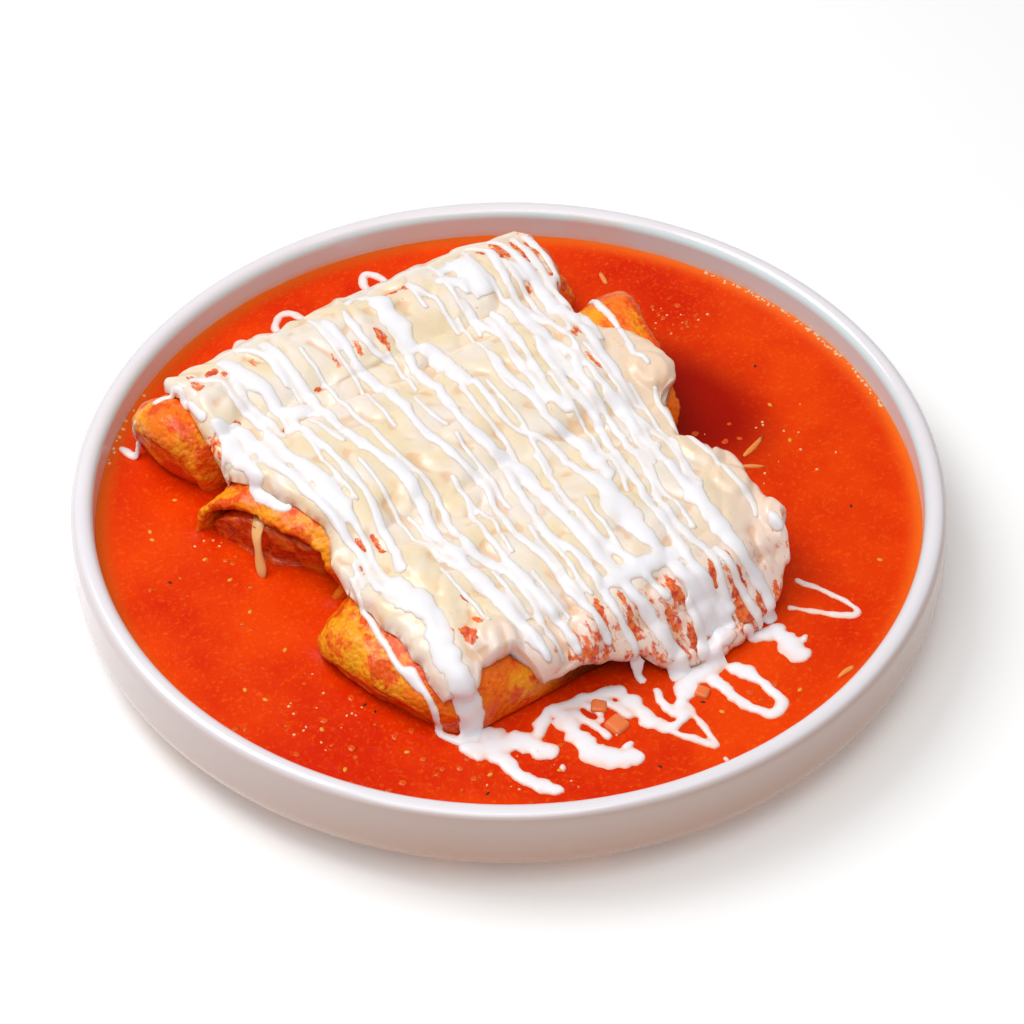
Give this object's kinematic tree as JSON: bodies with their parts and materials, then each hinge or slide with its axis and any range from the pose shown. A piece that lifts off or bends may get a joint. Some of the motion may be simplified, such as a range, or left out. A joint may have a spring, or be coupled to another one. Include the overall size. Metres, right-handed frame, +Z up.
{
  "type": "enchiladas in a plate",
  "caption": "Filled tortilla rolls under melted cheese and zigzags of cream, lying in red sauce in a round shallow white stoneware plate.",
  "frame": {"origin": "middle of the plate's foot, at the level it stands on", "axes": "+Z up, +X along the rolls to their right ends, -Y towards the front, where the cream runs onto the sauce"},
  "size_m": [0.2714, 0.2714, 0.0493],
  "materials": {
    "stoneware": "glossy white glaze",
    "sauce": "wet red sauce",
    "tortilla": "tortilla soaked in sauce",
    "filling": "moist shredded filling",
    "cheese": "melted cheese with cream on it"
  },
  "bodies": {
    "root": {"plate": "stoneware", "sauce": "sauce", "tortilla_back": "tortilla", "tortilla_middle": "tortilla", "tortilla_front": "tortilla", "filling_back": "filling", "filling_middle": "filling", "filling_front": "filling", "cheese": "cheese"}
  },
  "joints": []
}
